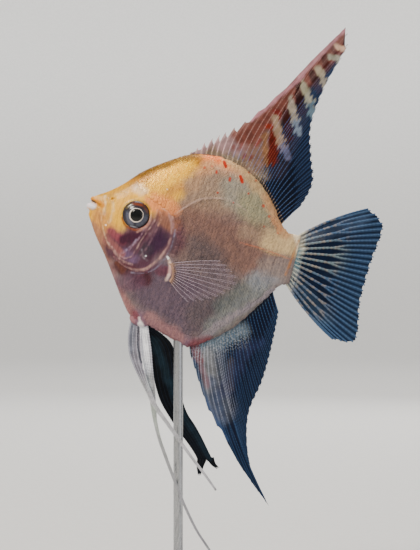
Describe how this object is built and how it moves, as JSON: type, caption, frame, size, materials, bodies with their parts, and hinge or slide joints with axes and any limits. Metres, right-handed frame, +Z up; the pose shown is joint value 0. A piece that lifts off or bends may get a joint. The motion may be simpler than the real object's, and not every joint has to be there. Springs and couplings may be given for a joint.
{
  "type": "marble angelfish",
  "caption": "Still, life-size freshwater angelfish with marbled skin, tall pointed fins and trailing pelvic filaments, on a flat base with one rod.",
  "frame": {"origin": "middle of the underside of the stand's base, on the surface that it stands on", "axes": "+Z up; -X the way the fish faces; +Y to the fish's right"},
  "size_m": [0.116, 0.06, 0.1904],
  "materials": {
    "golden_skin": "moist fish skin, golden yellow and orange with small bright glints",
    "flank_skin": "moist scaled skin, lilac grey to olive with orange spots and a cream band",
    "pale_skin": "pale moist skin",
    "gill_skin": "thin moist skin over the gills, purple pink",
    "eye": "clear wet cornea over a grey blue iris with a cream ring and a black pupil",
    "dark_fin": "thin navy membrane with paler rays, marbled with cream and maroon",
    "pale_fin": "thin white and lilac membrane with rays",
    "clear_fin": "thin translucent membrane with pale rays",
    "stand_base": "black, satin with polished edges",
    "stand_rod": "drawn stainless steel bar"
  },
  "bodies": {
    "root": {"head": "golden_skin", "trunk": "flank_skin", "tail_stalk": "flank_skin", "upper_lip": "golden_skin", "lower_lip": "pale_skin", "gill_cover_left": "gill_skin", "gill_cover_right": "gill_skin", "eye_left": "eye", "eye_right": "eye", "dorsal_fin": "dark_fin", "anal_fin": "dark_fin", "caudal_fin": "dark_fin", "pectoral_fin_left": "clear_fin", "pectoral_fin_right": "clear_fin", "pelvic_fin_left": "pale_fin", "pelvic_fin_right": "dark_fin", "stand_base": "stand_base", "stand_rod": "stand_rod"}
  },
  "joints": []
}
